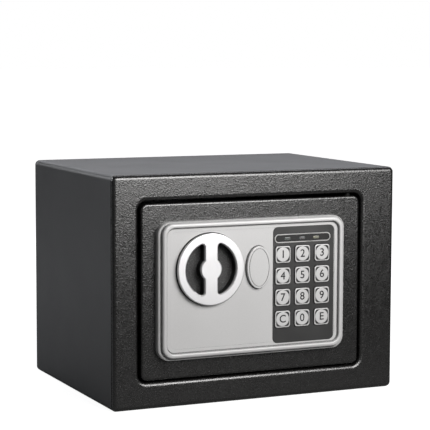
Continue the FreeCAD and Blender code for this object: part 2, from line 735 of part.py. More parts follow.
def build_key(label, across, up):
    """Square key: border, sunken corners, a round dished top, flange and stem."""
    body = front_block(label, lambda s: draw_key_square(s, across, up, "key_size"),
                       "-key_front", "key_front - 3.9")
    soften(body, "0.35", lies_at("y", "front - key_front"))
    cut_front(body, lambda s: draw_key_square(s, across, up, "key_size - 1.5"),
              "-key_front", "0.5")
    pad_front(body, lambda s: draw_circle(s, str(across), str(up), "(key_size - 1.7) / 2"),
              "-key_front + 0.05", "0.6")
    rim = both(lies_at("y", "front - key_front + 0.05"),
               lambda edge: edge.Curve.TypeId == "Part::GeomCircle")
    soften(body, "0.3", rim)
    pad_front(body, lambda s: draw_key_square(s, across, up, "key_size + 1.5"),
              "-4.05", "0.55")
    pad_front(body, lambda s: draw_circle(s, str(across), str(up), "2"), "-3.6", "0.3")
    return body


def build_key_cover():
    """Oval cap that hides the emergency lock; its skirt plugs the oval hole."""
    body = front_block("key_cover", lambda s: draw_oval(
        s, "cap_x", "cap_z", "cap_wide", "cap_tall"), "-cap_front",
        "cap_front - field_front + 0.3")
    soften(body, "0.5", lies_at("y", "front - cap_front"))

    def ring(sketch):
        draw_oval(sketch, "cap_x", "cap_z", "(cap_wide - 2.9)", "(cap_tall - 2.9)")
        draw_oval(sketch, "cap_x", "cap_z", "(cap_wide - 3.9)", "(cap_tall - 3.9)")
    cut_front(body, ring, "-cap_front", "0.4")
    pad_front(body, lambda s: draw_oval(s, "cap_x", "cap_z", "(cap_wide - 2.3)",
                                        "(cap_tall - 2.3)"), "-field_front + 0.2", "1")
    cut_front(body, lambda s: draw_oval(s, "cap_x", "cap_z", "(cap_wide - 5)",
                                        "(cap_tall - 5)"), "-field_front", "2.2")
    return body


# ----------------------------------------------------- knob, cam and bolts

def knob_circle(radius):
    return lambda sketch: draw_circle(sketch, "knob_x", "knob_z", radius)


def draw_knob_bar(sketch):
    draw_rectangle(sketch, "knob_x - knob_bar / 2", "knob_x + knob_bar / 2",
                   "knob_z - knob_well - 0.6", "knob_z + knob_well + 0.6")


def carve_finger_wells(body, face, depth):
    """Sink a round well, then leave the grip bar and the hub standing in it."""
    cut_front(body, knob_circle("knob_well"), f"-({face})", depth)
    pad_front(body, draw_knob_bar, f"-({face})", depth)
    pad_front(body, knob_circle("knob_hub"), f"-({face})", depth)


def well_corner(edge):
    """The four corners where the grip bar meets the ring."""
    if not runs_along("y")(edge):
        return False
    middle = edge_points(edge)[1]
    across = abs(middle.x - value_of("knob_x"))
    up = abs(middle.z - value_of("knob_z"))
    return abs(across - value_of("knob_bar / 2")) < 0.05 and up > 15


def build_knob_trim():
    """Chrome face of the knob: ring, grip bar and hub, with bevelled edges."""
    body = front_block("knob_trim", knob_circle("knob_radius"),
                       "-knob_front", "knob_front - knob_trim_back")
    carve_finger_wells(body, "knob_front", "knob_front - knob_trim_back")
    soften(body, "2", well_corner)
    outer = value_of("knob_radius")
    centre = Vector(value_of("knob_x"), value_of("front - knob_front"), value_of("knob_z"))
    at_front = lies_at("y", "front - knob_front")

    def on_outer_edge(edge):
        return at_front(edge) and abs(edge_points(edge)[1].distanceToPoint(centre) - outer) < 0.01

    def on_well_edge(edge):
        return at_front(edge) and not on_outer_edge(edge)
    soften(body, "0.7", on_outer_edge)
    soften(body, "0.8", on_well_edge, "PartDesign::Chamfer")
    return body


def build_knob_cup():
    """Black core of the knob with the floors of both finger wells."""
    body = front_block("knob_cup", knob_circle("knob_radius - 0.3"),
                       "-knob_trim_back", "knob_trim_back - knob_back")
    carve_finger_wells(body, "knob_trim_back", "knob_trim_back - knob_floor")
    soften(body, "2", well_corner)
    cut_front(body, knob_circle("spindle_radius"), "-6", "6")
    return body


def build_knob_spindle():
    """Steel shaft from the knob's hub through the door plate."""
    body = front_block("knob_spindle", knob_circle("spindle_radius"), "-6",
                       "6 + door_thick + 0.6")
    return body


def build_knob_cam():
    """Disc on the spindle behind the door plate, with the pin that drives the bolts."""
    body = front_block("knob_cam", knob_circle("cam_radius"), "door_thick + 0.6", "3")
    pin = "cam_throw * 0.70710678"
    pad_front(body, lambda s: draw_circle(
        s, f"knob_x + {pin}", f"knob_z + {pin}", "cam_pin_radius"),
        "door_thick + 3", "plate_behind + work_plate + 0.4 - door_thick - 3")
    return body


def build_bolt_carriage():
    """Sliding plate that joins both bolts to the knob, with a lug the solenoid can stop."""
    body = front_block("bolt_carriage", lambda s: draw_polygon(s, [
        ("bolt_foot", "bolt_low - 8"), ("coil_x + 6", "bolt_low - 8"),
        ("coil_x + 6", "bolt_low + 2"), ("-50", "bolt_low + 2"), ("-50", "knob_z - 7"),
        ("knob_x - 5", "knob_z - 1"), ("knob_x + 14", "knob_z - 1"),
        ("knob_x + 14", "knob_z + 15"), ("-50", "knob_z + 15"), ("-50", "bolt_high + 8"),
        ("bolt_foot", "bolt_high + 8"),
    ]), "plate_behind", "work_plate")
    pad_front(body, lambda s: draw_rectangle(
        s, "bolt_foot", "bolt_foot + work_plate", "bolt_low - 8", "bolt_high + 8"),
        "plate_behind + work_plate / 2", "chassis_back - 3 - plate_behind - work_plate / 2")
    pad_front(body, lambda s: draw_rectangle(
        s, "coil_x + 3", "coil_x + 6", "bolt_low - 4", "bolt_low + 2"),
        "plate_behind + work_plate / 2", "coil_behind + 3 - plate_behind - work_plate / 2")
    pin = "cam_throw * 0.70710678"
    slot_half = "(cam_pin_radius + 0.5)"

    def slots(sketch):
        draw_round_rectangle(
            sketch, f"knob_x + {pin} - {slot_half}", f"knob_x + {pin} + {slot_half}",
            f"knob_z + {pin} - {slot_half} - 0.1", f"knob_z + cam_throw + {slot_half}",
            f"{slot_half} - 0.05")
        for across, up in POST_CENTRES:
            draw_round_rectangle(sketch, f"{across} - 2.9", f"{across} + 12.8",
                                 f"{up} - 2.6", f"{up} + 2.6", "2.55")
    cut_front(body, slots, "plate_behind - 1", "work_plate + 2")
    sketch = side_sketch(body, "bolt_foot - 1")
    for height in ("bolt_low", "bolt_high"):
        draw_circle(sketch, "front + bolt_behind", height, "2.1")
    add_pocket(body, sketch, "work_plate + 2", towards_normal=True)
    return body


def build_carriage_posts():
    """Shouldered posts on the door plate that keep the carriage flat and level."""
    posts = []
    for i, (across, up) in enumerate(POST_CENTRES):
        shank = primitive("Cylinder", f"post_shank_{i}",
                          {"Radius": "2.5", "Height": "plate_behind + work_plate + 0.4 - door_thick"},
                          (str(across), "front + door_thick", str(up)), axis="Y")
        head = primitive("Cylinder", f"post_head_{i}", {"Radius": "4", "Height": "1.5"},
                         (str(across), "front + plate_behind + work_plate + 0.4", str(up)),
                         axis="Y")
        foot = primitive("Cylinder", f"post_foot_{i}",
                         {"Radius": "3.6", "Height": "plate_behind - door_thick - 0.3"},
                         (str(across), "front + door_thick", str(up)), axis="Y")
        posts.append(joined(f"post_{i}", [shank, head, foot]))
    return joined("carriage_posts", posts)


def build_locking_bolts():
    """The two round bolts, bevelled at the tip."""
    bolts = []
    for name, height in (("lower", "bolt_low"), ("upper", "bolt_high")):
        shaft = primitive("Cylinder", f"bolt_{name}_shaft",
                          {"Radius": "bolt_radius", "Height": "bolt_foot - bolt_tip - 1"},
                          ("bolt_tip + 1", "front + bolt_behind", height), axis="X")
        tip = primitive("Cone", f"bolt_{name}_tip",
                        {"Radius1": "bolt_radius - 1", "Radius2": "bolt_radius", "Height": "1"},
                        ("bolt_tip", "front + bolt_behind", height), axis="X")
        solid = joined(f"bolt_{name}_solid", [shaft, tip])
        bore = primitive("Cylinder", f"bolt_{name}_bore", {"Radius": "1.7", "Height": "10"},
                         ("bolt_foot - 9", "front + bolt_behind", height), axis="X")
        bolts.append(cut_from(f"bolt_{name}", solid, [bore]))
    return joined("locking_bolts", bolts)


def build_bolt_screws():
    """Screws that hold the bolts to the carriage."""
    screws = []
    for name, height in (("lower", "bolt_low"), ("upper", "bolt_high")):
        shank = primitive("Cylinder", f"bolt_screw_{name}_shank",
                          {"Radius": "1.65", "Height": "10"},
                          ("bolt_foot + work_plate - 9", "front + bolt_behind", height), axis="X")
        head = primitive("Cylinder", f"bolt_screw_{name}_head",
                         {"Radius": "3.4", "Height": "2.4"},
                         ("bolt_foot + work_plate", "front + bolt_behind", height), axis="X")
        screws.append(joined(f"bolt_screw_{name}", [shank, head]))
    return joined("bolt_screws", screws)


# ------------------------------------------------ emergency lock, solenoid

def lock_circle(radius):
    return lambda sketch: draw_circle(sketch, "cap_x", "cap_z", radius)


def build_lock_cylinder():
    """Barrel of the emergency lock, with a flange in front of the door plate."""
    body = front_block("lock_cylinder", lock_circle("barrel_radius + 1.8"), "-3.8", "3.8")
    pad_front(body, lock_circle("barrel_radius"), "-1", "14")
    pad_front(body, lambda s: draw_polygon(s, [
        ("cap_x - 8.5", "cap_z"), ("cap_x - 4.25", "cap_z - 7.3"),
        ("cap_x + 4.25", "cap_z - 7.3"), ("cap_x + 8.5", "cap_z"),
        ("cap_x + 4.25", "cap_z + 7.3"), ("cap_x - 4.25", "cap_z + 7.3"),
    ]), "door_thick", "3")
    cut_front(body, lock_circle("plug_radius + turning_fit"), "-5", "20")
    return body


def build_lock_plug():
    """Turning core of the emergency lock, with its keyway."""
    body = front_block("lock_plug", lock_circle("plug_radius"), "-3.6", "17.1")
    cut_front(body, lambda s: draw_rectangle(
        s, "cap_x - 0.6", "cap_x + 0.6", "cap_z - 2.6", "cap_z + 2.6"), "-4", "10")
    return body


def build_lock_cam():
    """Arm on the back of the plug; its pin lifts the plunger's head."""
    turn = math.radians(-111.6)
    pin = (f"cap_x + 8 * {math.cos(turn):.6f}", f"cap_z + 8 * {math.sin(turn):.6f}")
    body = front_block("lock_cam", lock_circle("4.5"), "13.5", "2")

    def arm(sketch):
        side = Vector(-math.sin(turn), math.cos(turn), 0) * 2.4
        reach = Vector(math.cos(turn), math.sin(turn), 0) * 8
        corners = [side, reach + side, reach - side, side * -1]
        draw_polygon(sketch, [(f"cap_x + ({p.x:.6f})", f"cap_z + ({p.y:.6f})")
                              for p in corners])
    pad_front(body, arm, "13.5", "2")
    pad_front(body, lambda s: draw_circle(s, *pin, "2.4"), "13.5", "2")
    pad_front(body, lambda s: draw_circle(s, *pin, "1.5"), "15", "3")
    return body


def build_solenoid_frame():
    """Steel bracket on the door plate that holds the coil."""
    body = front_block("solenoid_frame", lambda s: draw_rectangle(
        s, "coil_x - 11", "coil_x + 11", "61.5", "86"), "door_thick", "coil_behind + 9 - door_thick")
    cut_front(body, lambda s: draw_rectangle(
        s, "coil_x - 12", "coil_x + 12", "63.5", "84"), "door_thick + 2", "30")
    sketch = level_sketch(body, "60")
    draw_circle(sketch, "coil_x", "front + coil_behind", "plunger_radius + 0.35")
    add_pocket(body, sketch, "30", towards_normal=True)
    return body


def build_solenoid_coil():
    body = new_body("solenoid_coil")
    sketch = level_sketch(body, "63.5")
    draw_circle(sketch, "coil_x", "front + coil_behind", "8.5")
    add_pad(body, sketch, "20.5", backwards=False)
    sketch = level_sketch(body, "62.5")
    draw_circle(sketch, "coil_x", "front + coil_behind", "plunger_radius + 0.35")
    add_pocket(body, sketch, "23", towards_normal=True)
    return body


def build_plunger():
    """Locking plunger: tip, spring collar, slug in the coil, rod and lifting head."""
    centre = ("coil_x", "front + coil_behind")
    steps = [("slug", "plunger_radius", "52.8", "27.2"), ("collar", "4.4", "57.2", "1"),
             ("rod", "1.5", "80", "19.2"), ("head", "4", "99.05", "1.5")]
    pieces = [primitive("Cylinder", "plunger_" + name, {"Radius": radius, "Height": tall},
                        (*centre, low)) for name, radius, low, tall in steps]
    return joined("solenoid_plunger", pieces)


def build_plunger_spring():
    """Compressed return spring between the collar and the solenoid frame."""
    helix = doc.addObject("Part::Helix", "plunger_spring_path")
    helix.setExpression("Radius", with_sheet("plunger_radius + 1.2"))
    helix.Pitch = 0.95
    helix.Height = 2.3
    profile = doc.addObject("Part::Circle", "plunger_spring_wire")
    profile.Radius = 0.3
    profile.Placement = FreeCAD.Placement(
        Vector(value_of("plunger_radius + 1.2"), 0, 0), FreeCAD.Rotation(Vector(1, 0, 0), 90))
    sweep = doc.addObject("Part::Sweep", "plunger_spring")
    sweep.Label = "plunger_spring"
    sweep.Sections = [profile]
    sweep.Spine = (helix, [])
    sweep.Solid = True
    sweep.Frenet = True
    for key, formula in zip("xyz", ("coil_x", "front + coil_behind", "58.7")):
        sweep.setExpression("Placement.Base." + key, with_sheet(formula))
    return sweep


# ------------------------------------------------------ battery box, button

def build_battery_tray():
    """Plastic box for four cells, open to the inside of the safe."""
    body = front_block("battery_tray", lambda s: draw_round_rectangle(
        s, "tray_left", "tray_right", "tray_low", "tray_high", "2"),
        "16", "chassis_back + cover_thick - 16")
    cut_front(body, lambda s: draw_round_rectangle(
        s, "tray_left + 1.3", "tray_right - 1.3", "tray_low + 1.2", "tray_high - 1.2", "1"),
        "17.3", "30")
    pad_front(body, lambda s: [draw_rectangle(
        s, "tray_left + 0.6", "tray_right - 0.6", f"{cell_height(i)} - 0.3",
        f"{cell_height(i)} + 0.3") for i in (0.5, 1.5, 2.5)], "17", "5")
    pad_front(body, lambda s: [draw_rectangle(
        s, str(across), f"{across} + 6", "tray_low - 6", "tray_low + 1")
        for across in (28, 62)], "door_thick", "18 - door_thick")
    return body


def cell_height(number):
    """Height of the middle of a cell; halves give the partition between two cells."""
    return f"((tray_low + tray_high) / 2 + ({number} - 1.5) * cell_pitch)"


def build_battery_cells():
    """Four standard cells, alternating, each with its button end."""
    cells = []
    for i in range(4):
        flipped = i % 2 == 1
        left = "(tray_left + 4.4)" if flipped else "(tray_left + 3.6)"
        can = primitive("Cylinder", f"cell_can_{i}",
                        {"Radius": "cell_radius", "Height": "cell_long - 1.2"},
                        (left, "front + 25", cell_height(i)), axis="X")
        button_at = f"{left} - 1.1" if flipped else f"{left} + cell_long - 1.3"
        button = primitive("Cylinder", f"cell_button_{i}", {"Radius": "2.7", "Height": "1.2"},
                           (button_at, "front + 25", cell_height(i)), axis="X")
        cells.append(joined(f"cell_{i}", [can, button]))
    return joined("battery_cells", cells)


def build_battery_contacts():
    """Plate contacts at both ends of each cell."""
    plates = []
    for i in range(4):
        for side, left in (("near", "tray_left + 1.3"), ("far", "tray_right - 1.8")):
            plates.append(primitive(
                "Box", f"contact_{side}_{i}", {"Length": "0.5", "Width": "9", "Height": "9"},
                (left, "front + 20.5", f"{cell_height(i)} - 4.5")))
    return joined("battery_contacts", plates)


def build_battery_cover():
    """Lift-off lid of the battery box with a finger notch."""
    body = front_block("battery_cover", lambda s: draw_round_rectangle(
        s, "tray_left - 1.5", "tray_right + 1.5", "tray_low - 1.5", "tray_high + 1.5", "3"),
        "chassis_back + cover_thick + 0.15", "1.45")
    soften(body, "0.6", lies_at("y", "front + chassis_back + cover_thick + 1.6"))
    pad_front(body, lambda s: draw_round_rectangle(
        s, "tray_left + 1.6", "tray_right - 1.6", "tray_low + 1.5", "tray_high - 1.5", "1"),
        "chassis_back + cover_thick - 1.2", "1.4")
    cut_front(body, lambda s: draw_round_rectangle(
        s, "(tray_left + tray_right) / 2 - 9", "(tray_left + tray_right) / 2 + 9",
        "tray_high - 8", "tray_high - 4", "1.5"), "chassis_back + cover_thick + 0.8", "2")
    return body


def build_reset_button():
    """Red button reached with the door open."""
    body = front_block("reset_button", lambda s: draw_circle(
        s, "reset_x", "reset_z", "reset_radius"), "chassis_back - 4",
        "4 + cover_thick + 1.6")
    soften(body, "0.6", lies_at("y", "front + chassis_back + cover_thick + 1.6"))
    pad_front(body, lambda s: draw_circle(s, "reset_x", "reset_z", "reset_radius + 1"),
              "chassis_back - 1.8", "1.5")
    return body


def build_reset_switch():
    """Small switch on a foot behind the red button."""
    body = front_block("reset_switch", lambda s: draw_rectangle(
        s, "reset_x - 6", "reset_x + 6", "reset_z - 6", "reset_z + 6"),
        "chassis_back - 13", "7")
    pad_front(body, lambda s: draw_rectangle(
        s, "reset_x - 3", "reset_x + 3", "reset_z - 3", "reset_z + 3"),
        "door_thick", "chassis_back - 12 - door_thick")
    return body


build_body_tube()
build_front_frame()
build_back_panel()
build_hinge_bracket("hinge_bracket_upper", "open_high + wall")
build_hinge_bracket("hinge_bracket_lower", "open_low - wall - 3")
build_floor_mat()
build_door_panel()
build_door_chassis()
build_hinge_pins()
build_bolt_guide()
build_inner_cover()
build_cover_posts()
build_screws("cover_screws", cover_screw_centres(), "chassis_back + cover_thick", True, "7")
build_panel_bezel()
build_screws("panel_screws", BOSS_CENTRES, "door_thick", True, "6.5")
build_keypad_plate()
build_indicator_outline()
for led_label, led_across in LED_CENTRES.items():
    build_led(led_label, led_across)
build_circuit_board()
build_switch_domes()
for key_label, (key_across, key_up) in KEYS.items():
    build_key(key_label, key_across, key_up)
build_key_cover()
build_knob_trim()
build_knob_cup()
build_knob_spindle()
build_knob_cam()
build_bolt_carriage()
build_carriage_posts()
build_locking_bolts()
build_bolt_screws()
build_lock_cylinder()
build_lock_plug()
build_lock_cam()
build_solenoid_frame()
build_solenoid_coil()
build_plunger()
build_plunger_spring()
build_battery_tray()
build_battery_cells()
build_battery_contacts()
build_battery_cover()
build_reset_button()
build_reset_switch()
doc.recompute()

NODES = [
    "body_tube", "front_frame", "back_panel", "hinge_bracket_upper",
    "hinge_bracket_lower", "floor_mat", "door_panel", "door_chassis", "hinge_pins",
    "bolt_guide", "door_inner_cover", "cover_posts", "cover_screws", "control_panel_bezel",
    "panel_screws", "keypad_plate", "indicator_outline", *LED_CENTRES, "circuit_board",
    "switch_domes", *KEYS, "key_cover", "knob_trim", "knob_cup", "knob_spindle", "knob_cam",
    "bolt_carriage", "carriage_posts", "locking_bolts", "bolt_screws", "lock_cylinder",
    "lock_plug", "lock_cam", "solenoid_frame", "solenoid_coil", "solenoid_plunger",
    "plunger_spring", "battery_tray", "battery_cells", "battery_contacts", "battery_cover",
    "reset_button", "reset_switch",
]

for item in doc.Objects:
    if "Invalid" in item.State or "Error" in item.State:
        raise RuntimeError(f"{item.Label} did not recompute: {item.State}")

os.makedirs("parts", exist_ok=True)
for node in NODES:
    shape = doc.getObjectsByLabel(node)[0].Shape
    if shape.isNull() or not shape.isValid() or not shape.Solids:
        raise RuntimeError(f"{node} has no valid solid")
    shape.exportStep(f"parts/{node}.step")
print(len(NODES), "parts written")
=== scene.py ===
import math

import bmesh
import bpy
from mathutils import Matrix, Vector


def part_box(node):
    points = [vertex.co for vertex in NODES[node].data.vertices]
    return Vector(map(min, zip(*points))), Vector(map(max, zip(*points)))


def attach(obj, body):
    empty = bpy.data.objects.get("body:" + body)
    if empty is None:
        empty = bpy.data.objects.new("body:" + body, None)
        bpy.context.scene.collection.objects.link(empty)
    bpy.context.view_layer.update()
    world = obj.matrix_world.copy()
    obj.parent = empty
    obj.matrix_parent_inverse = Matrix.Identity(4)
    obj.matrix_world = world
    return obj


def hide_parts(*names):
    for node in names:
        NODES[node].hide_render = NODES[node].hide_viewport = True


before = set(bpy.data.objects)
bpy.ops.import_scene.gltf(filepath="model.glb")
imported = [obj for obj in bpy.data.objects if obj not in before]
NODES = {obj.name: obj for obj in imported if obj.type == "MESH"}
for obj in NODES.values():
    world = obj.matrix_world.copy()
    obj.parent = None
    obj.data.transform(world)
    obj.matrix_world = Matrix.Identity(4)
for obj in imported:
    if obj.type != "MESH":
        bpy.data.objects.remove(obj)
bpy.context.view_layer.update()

MM = 0.001
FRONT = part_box("door_panel")[0].y
TEXTURE_SPREAD = (0.3, 0.7)     # where nearly all values of a noise texture lie
BODY_COLOUR = (0.003, 0.0029, 0.0028)
KEY_NAMES = ["key_1", "key_2", "key_3", "key_4", "key_5", "key_6", "key_7", "key_8",
             "key_9", "key_clear", "key_0", "key_enter"]
scene = bpy.context.scene
scene.view_settings.view_transform = "Standard"


# ---------------------------------------------------------------- node helpers

def shade(colour, factor, lift=0.0):
    """The colour made darker or lighter by a factor, then lifted, no brighter than white."""
    return tuple(min(1.0, c * factor + lift) for c in colour)


class Shader:
    """A material with its Principled shader and short calls for the nodes it needs."""

    def __init__(self, name, colour, roughness, metallic=0.0, specular=0.5):
        self.material = bpy.data.materials.new(name)
        self.material.use_nodes = True
        self.tree = self.material.node_tree
        self.shader = self.tree.nodes["Principled BSDF"]
        self.coordinates = self.tree.nodes.new("ShaderNodeTexCoord").outputs["Object"]
        self.set("Base Color", (*colour, 1.0))
        self.set("Roughness", roughness)
        self.set("Metallic", metallic)
        self.set("Specular IOR Level", specular)

    def set(self, socket, value):
        """Give a socket of the Principled shader a constant value."""
        self.shader.inputs[socket].default_value = value

    def link(self, source, target):
        self.tree.links.new(source, target)

    def to(self, socket, source):
        """Drive a socket of the Principled shader from a texture."""
        self.link(source, self.shader.inputs[socket])

    def noise(self, scale, detail=2.0, roughness=0.5, distortion=0.0, stretch=None):
        node = self.tree.nodes.new("ShaderNodeTexNoise")
        node.inputs["Scale"].default_value = scale
        node.inputs["Detail"].default_value = detail
        node.inputs["Roughness"].default_value = roughness
        node.inputs["Distortion"].default_value = distortion
        self.link(self.stretched(stretch), node.inputs["Vector"])
        return node.outputs["Fac"]

    def cells(self, scale, feature="F1", output="Distance"):
        node = self.tree.nodes.new("ShaderNodeTexVoronoi")
        node.feature = feature
        node.inputs["Scale"].default_value = scale
        self.link(self.coordinates, node.inputs["Vector"])
        return node.outputs[output]

    def stretched(self, stretch):
        if stretch is None:
            return self.coordinates
        node = self.tree.nodes.new("ShaderNodeMapping")
        node.inputs["Scale"].default_value = stretch
        self.link(self.coordinates, node.inputs["Vector"])
        return node.outputs["Vector"]

    def axis(self, name):
        """One object coordinate in metres, which for CAD nodes is the shared frame's."""
        node = self.tree.nodes.new("ShaderNodeSeparateXYZ")
        self.link(self.coordinates, node.inputs["Vector"])
        return node.outputs[name]

    def ranged(self, source, low, high, to_low=0.0, to_high=1.0):
        node = self.tree.nodes.new("ShaderNodeMapRange")
        self.link(source, node.inputs["Value"])
        for socket, value in (("From Min", low), ("From Max", high),
                              ("To Min", to_low), ("To Max", to_high)):
            node.inputs[socket].default_value = value
        return node.outputs["Result"]

    def spread(self, noise, to_low, to_high):
        """A noise's usual range of values stretched to run from to_low to to_high."""
        return self.ranged(noise, *TEXTURE_SPREAD, to_low, to_high)

    def math(self, operation, first, second):
        node = self.tree.nodes.new("ShaderNodeMath")
        node.operation = operation
        for socket, value in zip(node.inputs, (first, second)):
            if isinstance(value, (int, float)):
                socket.default_value = value
            else:
                self.link(value, socket)
        return node.outputs["Value"]

    def mix(self, factor, first, second):
        """Blend two colours, each a tuple or a socket, by a factor socket."""
        node = self.tree.nodes.new("ShaderNodeMix")
        node.data_type = "RGBA"
        self.link(factor, node.inputs[0])
        for socket, value in ((node.inputs[6], first), (node.inputs[7], second)):
            if isinstance(value, tuple):
                socket.default_value = (*value, 1.0)
            else:
                self.link(value, socket)
        return node.outputs[2]

    def edges(self, radius):
        """1 on sharp edges, falling to 0 away from them; the mask for painted edge highlights.
        """
        bevel = self.tree.nodes.new("ShaderNodeBevel")
        bevel.samples = 4
        bevel.inputs["Radius"].default_value = radius
        geometry = self.tree.nodes.new("ShaderNodeNewGeometry")
        dot = self.tree.nodes.new("ShaderNodeVectorMath")
        dot.operation = "DOT_PRODUCT"
        self.link(bevel.outputs["Normal"], dot.inputs[0])
        self.link(geometry.outputs["True Normal"], dot.inputs[1])
        return self.ranged(dot.outputs["Value"], 0.98, 0.75)

    def crevice_shade(self, reach):
        """0 in open places, rising to 1 deep in grooves narrower than the reach; the mask for
        painted shade in grooves.
        """
        node = self.tree.nodes.new("ShaderNodeAmbientOcclusion")
        node.samples = 6
        node.inputs["Distance"].default_value = reach
        return self.ranged(node.outputs["AO"], 0.75, 0.25)

    def bump(self, height, distance, strength=1.0):
        node = self.tree.nodes.new("ShaderNodeBump")
        node.inputs["Distance"].default_value = distance
        node.inputs["Strength"].default_value = strength
        self.link(height, node.inputs["Height"])
        self.to("Normal", node.outputs["Normal"])


def dress(shader, *names):
    """Give CAD nodes this material in every slot."""
    for name in names:
        mesh = NODES[name].data
        mesh.materials.clear()
        mesh.materials.append(shader.material)


# ------------------------------------------------------------------- materials

def grained_paint(name, colour):
    """Black powder coat with a leathery grain and a painted highlight along its edges."""
    paint = Shader(name, colour, 0.27, specular=0.85)
    grain = paint.noise(1200, detail=1.0)
    fine = paint.noise(2600, detail=1.0)
    cloud = paint.noise(160)
    paint.to("Roughness", paint.math(
        "ADD", paint.ranged(grain, 0.35, 0.65, 0.34, 0.24),
        paint.spread(cloud, -0.02, 0.02)))
    paint.bump(paint.math("ADD", grain, paint.math("MULTIPLY", fine, 0.15)), 0.17 * MM)
    # Painted highlight: the edges are lightened towards a brighter copy of the paint, broken
    # up by fine noise.
    edge_highlight = paint.math("MULTIPLY", paint.edges(0.4 * MM), paint.ranged(fine, 0.4, 0.6))
    tint = paint.mix(paint.ranged(grain, 0.35, 0.7), shade(colour, 0.7),
                     shade(colour, 1.35))
    paint.to("Base Color", paint.mix(paint.math("MULTIPLY", edge_highlight, 0.25), tint,
                                     shade(colour, 3.0)))
    return paint


def smooth_paint(name, colour, roughness, grain=0.02):
    """Sheet steel paint with a barely visible grain, grain mm deep, and a painted highlight
    along its edges.
    """
    paint = Shader(name, colour, roughness, specular=0.45)
    broad = paint.noise(25)
    fine = paint.noise(1500)
    paint.to("Roughness", paint.math(
        "ADD", paint.spread(broad, roughness - 0.02, roughness + 0.02),
        paint.spread(fine, -0.02, 0.02)))
    paint.bump(fine, grain * MM)
    # Painted highlight: the edges are lightened towards a brighter copy of the paint, broken
    # up by fine noise.
    edge_highlight = paint.math("MULTIPLY", paint.edges(0.5 * MM), paint.ranged(fine, 0.4, 0.6))
    paint.to("Base Color", paint.mix(paint.math("MULTIPLY", edge_highlight, 0.4), colour,
                                     shade(colour, 3.0)))
    return paint


def silver_paint(name, colour, roughness=0.42, metallic=0.35):
    """Satin silver paint on plastic, with a very fine metallic flake, a painted highlight
    along its edges and painted shade in its grooves.
    """
    paint = Shader(name, colour, roughness, metallic=metallic)
    flake = paint.cells(5200, output="Color")
    grey = paint.tree.nodes.new("ShaderNodeRGBToBW")
    paint.link(flake, grey.inputs["Color"])
    cloud = paint.noise(30)
    tint = paint.mix(grey.outputs["Val"], shade(colour, 0.93),
                     shade(colour, 1.07))
    # Painted highlight: the edges are lightened towards a brighter copy of the silver.
    with_edge_highlight = paint.mix(paint.math("MULTIPLY", paint.edges(0.35 * MM), 0.3), tint,
                    shade(colour, 1.2))
    # Painted shade: grooves and gaps are darkened towards near black by ambient occlusion.
    paint.to("Base Color", paint.mix(paint.crevice_shade(2 * MM), with_edge_highlight, (0.02, 0.02, 0.02)))
    paint.to("Roughness", paint.math(
        "ADD", paint.spread(cloud, roughness - 0.03, roughness + 0.04),
        paint.ranged(grey.outputs["Val"], 0.2, 0.8, -0.02, 0.03)))
    paint.bump(paint.noise(1900, detail=1.0), 0.01 * MM, 0.8)
    return paint


def key_paint(name, colour):
    """Key caps: silver paint, darker down in the corners outside the round top."""
    paint = silver_paint(name, colour, 0.4, 0.3)
    before = paint.shader.inputs["Base Color"].links[0].from_socket
    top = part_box("key_5")[0].y
    depth = paint.ranged(paint.axis("Y"), top + 0.3 * MM, top + 0.42 * MM)
    paint.to("Base Color", paint.mix(depth, before, (0.03, 0.03, 0.03)))
    return paint


def moulded(name, colour, roughness=0.45, grain=0.03, scale=900, specular=0.5):
    """Moulded plastic or a dull coating with a fine grain, grain mm deep, and a painted
    highlight along its edges.
    """
    plastic = Shader(name, colour, roughness, specular=specular)
    fine = plastic.noise(scale)
    cloud = plastic.noise(60)
    plastic.to("Roughness", plastic.math(
        "ADD", plastic.spread(cloud, roughness - 0.05, roughness + 0.05),
        plastic.spread(fine, -0.03, 0.03)))
    plastic.bump(fine, grain * MM)
    # Painted highlight: the edges are lightened towards a brighter copy of the plastic.
    plastic.to("Base Color", plastic.mix(
        plastic.math("MULTIPLY", plastic.edges(0.3 * MM), 0.3), colour,
        shade(colour, 1.8, 0.01)))
    return plastic


def keypad_paint(name):
    """Satin dark grey plate, blacker and glossier inside the indicator outline."""
    plate = moulded(name, (0.02, 0.02, 0.02), 0.4, 0.008, 1800)
    low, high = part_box("indicator_outline")
    soft = 0.3 * MM
    inside = plate.math("MULTIPLY", plate.ranged(plate.axis("X"), low.x, low.x + soft),
                        plate.ranged(plate.axis("X"), high.x, high.x - soft))
    for start, end in ((low.z, low.z + soft), (high.z, high.z - soft)):
        inside = plate.math("MULTIPLY", inside, plate.ranged(plate.axis("Z"), start, end))
    for socket, dark in (("Base Color", (0.012, 0.012, 0.012)), ("Roughness", (0.32,) * 3)):
        before = plate.shader.inputs[socket].links[0].from_socket
        plate.to(socket, plate.mix(inside, before, dark))
    return plate


def speckled_plastic(name):
    """Black core of the knob: coarse sparkling grain on its floors, plain walls."""
    plastic = Shader(name, (0.012, 0.012, 0.013), 0.5)
    floor = plastic.ranged(plastic.axis("Y"), FRONT - 2.2 * MM, FRONT - 1.6 * MM)
    speck = plastic.noise(1100, roughness=0.6)
    dots = plastic.math("MULTIPLY", plastic.ranged(speck, 0.5, 0.72), floor)
    plastic.to("Base Color", plastic.mix(dots, (0.003, 0.003, 0.003), (0.07, 0.07, 0.07)))
    plastic.to("Roughness", plastic.ranged(dots, 0.0, 1.0, 0.5, 0.35))
    plastic.bump(plastic.math("MULTIPLY", speck, floor), 0.5 * MM)
    return plastic


